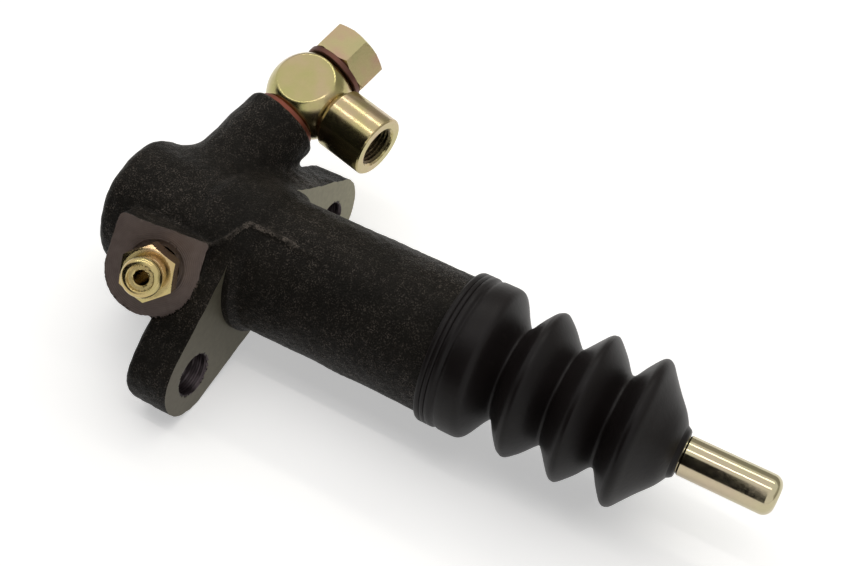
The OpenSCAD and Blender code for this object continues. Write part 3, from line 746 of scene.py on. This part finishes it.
def make_spring():
    """The hidden spring, copied from the CAD coil as it stands."""
    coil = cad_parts["return_spring"]
    mesh = coil.data.copy()
    mesh.transform(coil.matrix_world)
    piece = bpy.data.objects.new("coil_spring", mesh)
    bpy.context.scene.collection.objects.link(piece)
    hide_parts("return_spring")
    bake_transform(piece)


# Stage, lights and camera

def seen_rays(tree):
    """1 for rays that show the background: camera, glossy and transmission."""
    path = tree.nodes.new("ShaderNodeLightPath").outputs
    value = path["Is Camera Ray"]
    for name in ("Is Glossy Ray", "Is Transmission Ray"):
        most = tree.nodes.new("ShaderNodeMath")
        most.operation = "MAXIMUM"
        tree.links.new(value, most.inputs[0])
        tree.links.new(path[name], most.inputs[1])
        value = most.outputs[0]
    return value


def stage_quad(name, corners):
    """A flat piece of the stage."""
    mesh = bpy.data.meshes.new(name)
    mesh.from_pydata(corners, [], [(0, 1, 2, 3)])
    quad = bpy.data.objects.new(name, mesh)
    bpy.context.scene.collection.objects.link(quad)
    return quad


def stage_floor(z):
    s = FLOOR_HALF
    floor = stage_quad("floor", [(-s, -s, z), (s, -s, z), (s, s, z), (-s, s, z)])
    k = Look("pale_floor")
    white = k.times(seen_rays(k.tree), FLOOR_GLOW)
    floor.data.materials.append(k.finish(Base_Color=(0.86, 0.86, 0.86), Roughness=0.9, Specular_IOR_Level=0.0,
                                         Emission_Color=(1.0, 1.0, 1.0), Emission_Strength=white))


def card(name, corners, level):
    """A studio card that only the reflections see."""
    o = stage_quad(name, corners)
    k = Look(name)
    o.data.materials.append(k.finish(Base_Color=(0.0, 0.0, 0.0), Roughness=1.0, Specular_IOR_Level=0.0,
                                     Emission_Color=(1.0, 0.97, 0.9), Emission_Strength=level))
    o.visible_camera = o.visible_diffuse = o.visible_shadow = o.visible_transmission = False


def area(name, place, target, size, power, colour):
    """A rectangle of light that points at the target, with its first side along x."""
    light = bpy.data.lights.new(name, "AREA")
    light.shape = "RECTANGLE"
    light.size, light.size_y = size
    light.energy = power
    light.color = colour
    o = bpy.data.objects.new(name, light)
    o.location = place
    back = (Vector(place) - Vector(target)).normalized()
    side = (Vector((1, 0, 0)) - back.x * back).normalized()
    o.rotation_mode = "QUATERNION"
    o.rotation_quaternion = Matrix([side, back.cross(side), back]).transposed().to_quaternion()
    bpy.context.scene.collection.objects.link(o)
    return o


def world_light():
    """A dim white world, which is full white to the rays that show the background."""
    world = bpy.data.worlds.new("studio")
    bpy.context.scene.world = world
    world.use_nodes = True
    tree = world.node_tree
    back = tree.nodes["Background"]
    back.inputs["Color"].default_value = (1, 1, 1, 1)
    pick = tree.nodes.new("ShaderNodeMix")
    pick.data_type = "FLOAT"
    tree.links.new(seen_rays(tree), pick.inputs[0])
    pick.inputs[2].default_value = WORLD_LEVEL
    pick.inputs[3].default_value = 1.0
    tree.links.new(pick.outputs[0], back.inputs["Strength"])


def photo_camera():
    camera = bpy.data.cameras.new("camera")
    camera.lens, camera.sensor_width = LENS, SENSOR
    camera.clip_start, camera.clip_end = 0.01, 20.0
    eye = bpy.data.objects.new("camera", camera)
    eye.rotation_mode = "QUATERNION"
    eye.rotation_quaternion = Matrix([RIGHT, UP, [-v for v in AHEAD]]).transposed().to_quaternion()
    eye.location = EYE
    bpy.context.scene.collection.objects.link(eye)
    bpy.context.scene.camera = eye


make_casting()
make_elbow()
make_bolt()
make_bleeder()
make_boot()
make_rod()
make_washers()
make_spring()

stage_floor(cad_low[2] - FLOOR_GAP)
world_light()
softbox = area("softbox", (0.0, 0.65, 1.3), (0.0, 0.45, 0.0), (2.8, 2.1), 22.0, (1.0, 0.99, 0.96))
softbox.visible_glossy = False  # the white world already stands there in the reflections
area("far_strip", (-0.05, 0.51, 0.75), (0.0, 0, 0.01), (0.9, 0.05), 1.0, (1.0, 0.98, 0.88))
area("near_strip", (-0.05, -0.06, 0.90), (0.0, 0, 0.01), (0.9, 0.04), 0.9, (1.0, 0.95, 0.93))
card("near_flag", [(-10, -3, 0.0), (0.52, -3, 0.0), (0.52, -3, 6.3), (-10, -3, 6.3)], 0.01)
card("far_card", [(-3, 1.6, 0.0), (3, 1.6, 0.0), (3, 1.6, 1.2), (-3, 1.6, 1.2)], 0.4)
card("right_card", [(1.6, -0.4, 0.0), (1.6, 1.6, 0.0), (1.6, 1.6, 0.7), (1.6, -0.4, 0.7)], 0.5)
photo_camera()
bpy.context.scene.view_settings.view_transform = "Standard"
